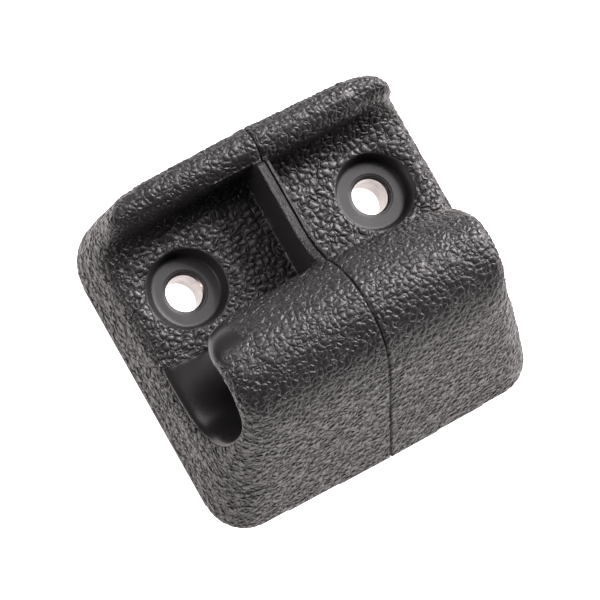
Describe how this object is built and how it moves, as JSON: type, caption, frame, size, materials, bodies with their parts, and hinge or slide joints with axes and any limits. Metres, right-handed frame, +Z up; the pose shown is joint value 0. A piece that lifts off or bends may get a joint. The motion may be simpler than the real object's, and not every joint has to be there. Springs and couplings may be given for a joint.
{
  "type": "hook cleat",
  "caption": "Moulded plastic hook cleat: a rope channel under a curled-over horn, a low back lip, and recessed bolt holes with steel sleeves in the valley between them",
  "frame": {"origin": "on the flat mounting face, midway between the two fixing bolts", "axes": "+X along the horn towards the right-hand half, +Y from the horn to the back lip, +Z up from the mounting face"},
  "size_m": [0.0648, 0.061, 0.0302],
  "materials": {
    "moulding": "moulded with a leather grain, smooth in the rope channel and washer recesses",
    "sleeve": "plated, drawn tube"
  },
  "bodies": {
    "root": {"left_moulding": "moulding", "right_moulding": "moulding", "left_sleeve": "sleeve", "right_sleeve": "sleeve"}
  },
  "joints": []
}
